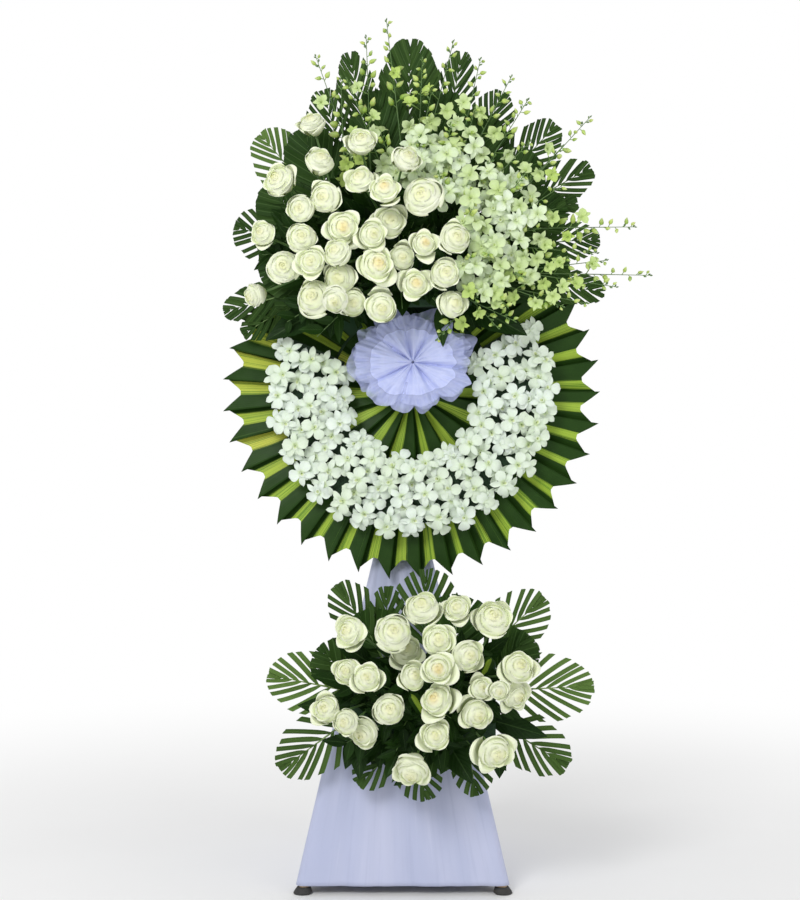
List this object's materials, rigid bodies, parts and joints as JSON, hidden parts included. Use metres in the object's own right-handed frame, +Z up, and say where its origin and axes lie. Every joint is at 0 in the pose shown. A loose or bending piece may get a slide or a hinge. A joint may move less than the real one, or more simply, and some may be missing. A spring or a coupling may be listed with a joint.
{
  "type": "funeral flower stand",
  "caption": "Tall funeral flower stand: skirted tripod, round leaf board with an orchid horseshoe and cloth rosette, and sprays of palm, roses and orchids above and below.",
  "frame": {"origin": "middle of the floor under the object's box", "axes": "+Z up, -Y the front with the flowers, +X to the right as seen from the front"},
  "size_m": [0.8684, 0.7296, 1.7698],
  "materials": {
    "petal": "soft matt rose petal",
    "orchid": "waxy white orchid petal",
    "palm": "satin palm leaflet",
    "striped_leaf": "satin strap leaf with a lime stripe",
    "filler": "wet green floral foam with dark leaves",
    "net": "sheer pale lavender net",
    "cloth": "pale lavender non-woven cloth",
    "timber": "plain sawn wood",
    "board": "light board under dark green paper"
  },
  "bodies": {
    "root": {"mast": "timber", "collar": "timber", "leg_front_left": "timber", "leg_front_right": "timber", "leg_rear": "timber", "lower_bracket": "timber", "batten_lower": "timber", "batten_upper": "timber", "skirt": "cloth", "board": "board", "rim_leaves_left": "striped_leaf", "rim_leaves_foot": "striped_leaf", "rim_leaves_right": "striped_leaf", "heart_leaves": "striped_leaf", "orchid_band_left": "orchid", "orchid_band_foot": "orchid", "orchid_band_right": "orchid", "rosette": "net", "top_foam": "filler", "top_roses_upper_left": "petal", "top_roses_left": "petal", "top_roses_lower_left": "petal", "top_roses_middle": "petal", "top_roses_upper": "petal", "top_roses_right": "petal", "top_roses_lower_right": "petal", "spray_top_left": "orchid", "spray_top": "orchid", "spray_upper_right": "orchid", "spray_right_high": "orchid", "spray_right_low": "orchid", "spray_drooping": "orchid", "top_frond_top": "palm", "top_frond_top_left": "palm", "top_frond_top_right": "palm", "top_frond_upper_left": "palm", "top_frond_upper_right": "palm", "top_frond_right_high": "palm", "top_frond_right_upper": "palm", "top_frond_right": "palm", "top_frond_right_low": "palm", "top_frond_left_high": "palm", "top_frond_left": "palm", "top_frond_left_low": "palm", "lower_foam": "filler", "lower_roses_upper": "petal", "lower_roses_upper_left": "petal", "lower_roses_upper_right": "petal", "lower_roses_left": "petal", "lower_roses_right": "petal", "lower_roses_lower": "petal", "lower_frond_top_left": "palm", "lower_frond_top": "palm", "lower_frond_top_right": "palm", "lower_frond_right": "palm", "lower_frond_right_low": "palm", "lower_frond_left": "palm", "lower_frond_left_low": "palm", "lower_frond_foot": "palm", "lower_frond_foot_right": "palm"}
  },
  "joints": []
}
